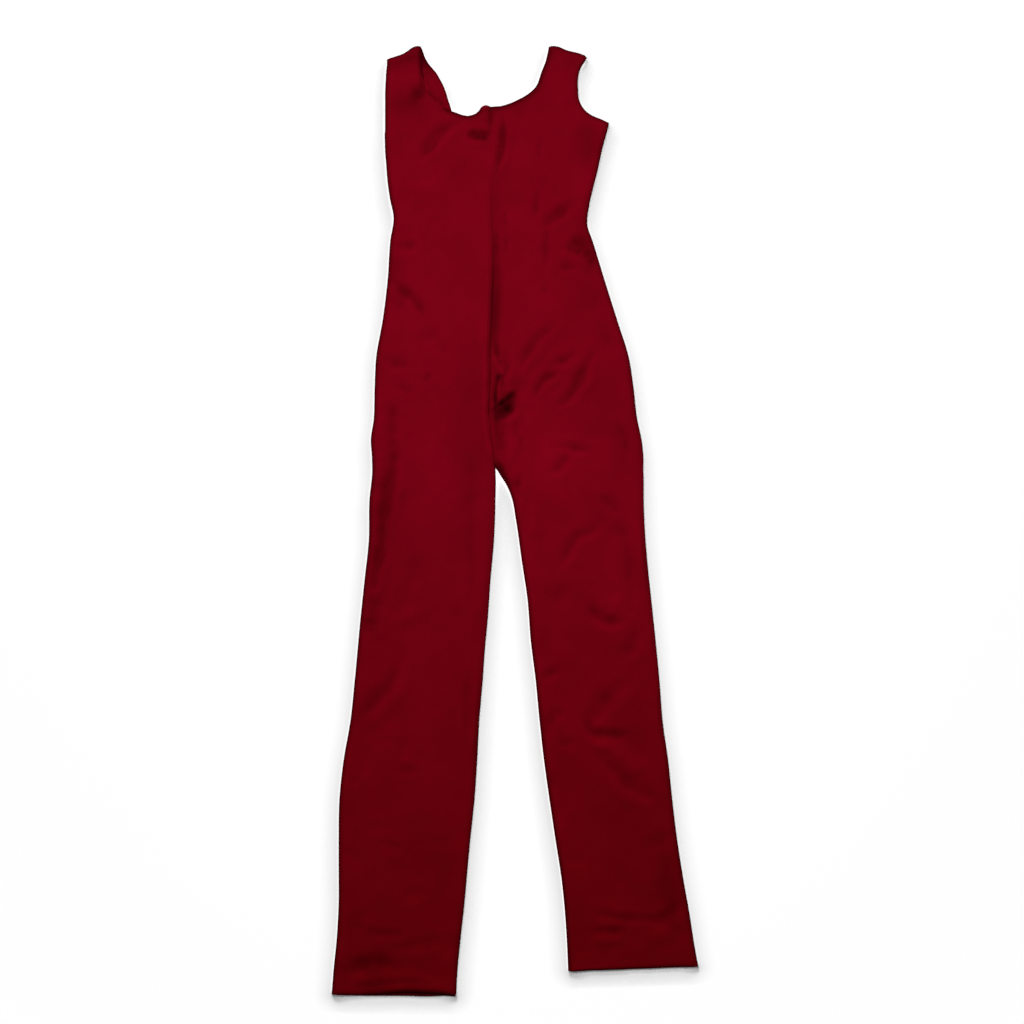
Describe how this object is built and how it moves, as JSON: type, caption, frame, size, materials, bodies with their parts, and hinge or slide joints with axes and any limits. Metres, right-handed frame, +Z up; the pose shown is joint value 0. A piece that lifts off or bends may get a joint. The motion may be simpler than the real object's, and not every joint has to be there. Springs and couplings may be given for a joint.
{
  "type": "sleeveless stretch jumpsuit laid flat",
  "caption": "Sleeveless full-length stretch jumpsuit with straight legs and a scooped neck, laid flat on its back with a fold down the centre front.",
  "frame": {"origin": "middle of the outline, on the surface that the suit lies on", "axes": "+X across the suit towards the wearer's left, +Y along it towards the neck, +Z up out of the front"},
  "size_m": [0.523, 1.3577, 0.0055],
  "materials": {
    "jersey": "matte, fine plain knit",
    "hem": "matte, the knit's inner face",
    "thread": "spun polyester thread"
  },
  "bodies": {
    "root": {"front_right": "jersey", "front_left": "jersey", "back_right": "jersey", "back_left": "jersey", "neck_hem": "hem", "armhole_hem_right": "hem", "armhole_hem_left": "hem", "ankle_hem_right": "hem", "ankle_hem_left": "hem"}
  },
  "joints": []
}
